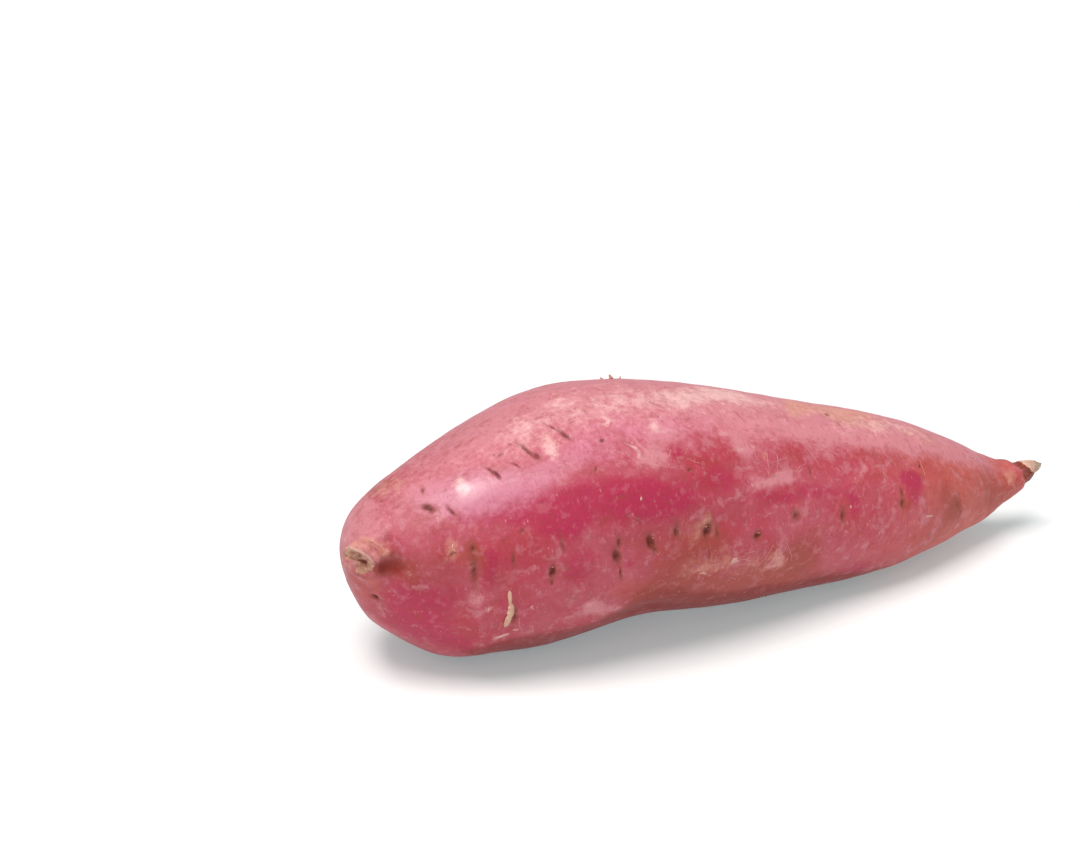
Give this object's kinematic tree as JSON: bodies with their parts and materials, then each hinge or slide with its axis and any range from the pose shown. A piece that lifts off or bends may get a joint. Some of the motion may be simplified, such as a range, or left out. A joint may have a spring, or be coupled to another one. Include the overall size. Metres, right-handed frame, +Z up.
{
  "type": "sweet potato",
  "caption": "Whole pink-skinned sweet potato lying on its side: a blunt stem end with a cut stub, a thick middle with a slight waist below, and a taper to a dried root point.",
  "frame": {"origin": "under the middle of the root's box, on the surface that it rests on", "axes": "+X along the root, from the cut stub to the dried point; +Y across it, away from a viewer at the table; +Z up"},
  "size_m": [0.1922, 0.061, 0.0597],
  "materials": {
    "pink_skin": "dry thin root skin, rosy pink with paler dusty patches and brown eyes, satin"
  },
  "bodies": {
    "root": {"sweet_potato": "pink_skin"}
  },
  "joints": []
}
